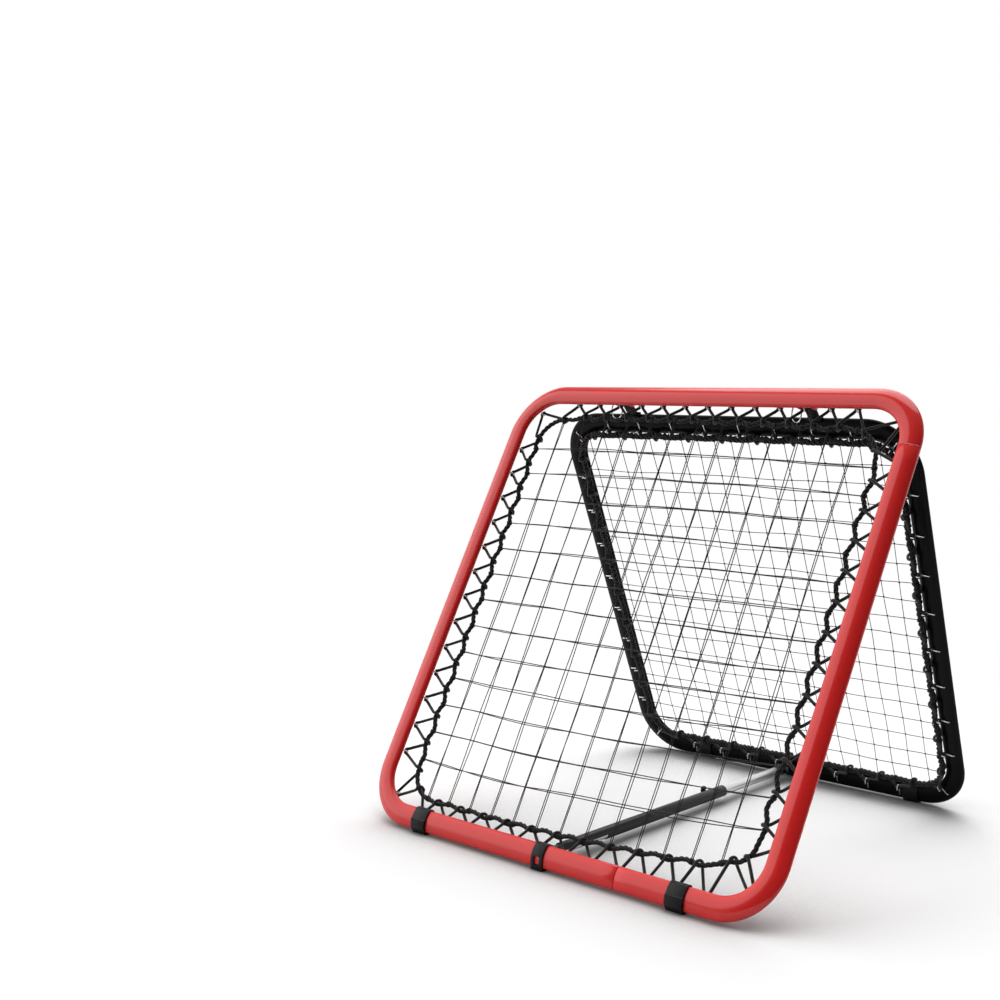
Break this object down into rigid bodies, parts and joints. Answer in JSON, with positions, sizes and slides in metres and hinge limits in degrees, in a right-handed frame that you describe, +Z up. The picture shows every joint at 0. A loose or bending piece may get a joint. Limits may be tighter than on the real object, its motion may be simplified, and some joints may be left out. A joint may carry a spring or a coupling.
{
  "type": "pitching target net",
  "caption": "Folding A-frame rebound net: two leaning oval-tube frames hinged at the top, each with a laced net, braced by a telescoping strut.",
  "frame": {"origin": "middle of the footprint at floor level", "axes": "+X along the frames' width, with the knob of the strut on the -X side; the red front frame faces -Y; +Z up"},
  "size_m": [0.9996, 0.9, 0.8868],
  "materials": {
    "red_coat": "gloss",
    "black_coat": "satin",
    "plain_steel": "satin",
    "zinc": "satin",
    "silver_coat": "satin",
    "black_plastic": "matte",
    "net_string": "matte",
    "rope": "matte",
    "elastic": "matte"
  },
  "bodies": {
    "front_frame": {"front_frame_main_tube": "red_coat", "front_frame_side_tube": "red_coat", "front_spigot_side": "plain_steel", "front_spigot_bottom": "plain_steel", "hinge_ears_left": "red_coat", "hinge_ears_right": "red_coat", "hinge_pin_left": "zinc", "hinge_pin_right": "zinc", "front_net_outer_layer": "net_string", "front_net_inner_layer": "net_string", "front_border_rope": "rope", "front_lacing_cord": "elastic", "front_wire_hooks": "zinc", "front_foot_left": "black_plastic", "front_foot_right": "black_plastic", "front_strut_clip": "black_plastic", "front_clip_pin": "zinc"},
    "back_frame": {"back_frame_main_tube": "black_coat", "back_frame_side_tube": "black_coat", "back_spigot_side": "plain_steel", "back_spigot_bottom": "plain_steel", "hinge_arm_left": "black_coat", "hinge_arm_right": "black_coat", "back_net": "net_string", "back_border_rope": "rope", "back_lacing_cord": "elastic", "back_wire_hooks": "zinc", "back_foot_left": "black_plastic", "back_foot_right": "black_plastic", "back_strut_clip": "black_plastic", "back_clip_pin": "zinc"},
    "strut_outer": {"strut_outer_tube": "black_coat", "strut_outer_end_fitting": "black_plastic", "plunger_boss": "black_plastic"},
    "strut_inner": {"strut_inner_tube": "silver_coat", "strut_inner_end_fitting": "black_plastic"},
    "plunger": {"plunger_pin": "zinc", "plunger_knob": "black_plastic"},
    "ring_left": {"pin_ring_left": "zinc"},
    "ring_right": {"pin_ring_right": "zinc"}
  },
  "joints": [
    {"name": "fold", "type": "hinge", "parent": "front_frame", "child": "back_frame", "pos_m": [0, 0.05682, 0.85601], "axis": [1, 0, 0], "range_deg": [-0.5, 10.4]},
    {"name": "strut_pivot", "type": "hinge", "parent": "front_frame", "child": "strut_outer", "pos_m": [0, -0.3944, 0.025], "axis": [1, 0, 0], "range_deg": [-0.3, 4.7]},
    {"name": "strut_slide", "type": "slide", "parent": "strut_outer", "child": "strut_inner", "axis": [0, 1, 0], "range_m": [-0.0075, 0.15]},
    {"name": "plunger_pull", "type": "slide", "parent": "strut_outer", "child": "plunger", "axis": [-1, 0, 0], "range_m": [0, 0.007], "stiffness_N_per_m": 600, "springref_m": -0.004},
    {"name": "ring_left_swing", "type": "hinge", "parent": "front_frame", "child": "ring_left", "pos_m": [-0.251, 0.05682, 0.85601], "axis": [0, 1, 0], "range_deg": [-6, 25]},
    {"name": "ring_right_swing", "type": "hinge", "parent": "front_frame", "child": "ring_right", "pos_m": [0.199, 0.05682, 0.85601], "axis": [0, 1, 0], "range_deg": [-6, 25]}
  ],
  "couplings": [
    {"joint": "strut_pivot", "follows": "fold", "ratio": 0.4391},
    {"joint": "strut_slide", "follows": "fold", "m_per_rad": 0.8159}
  ]
}
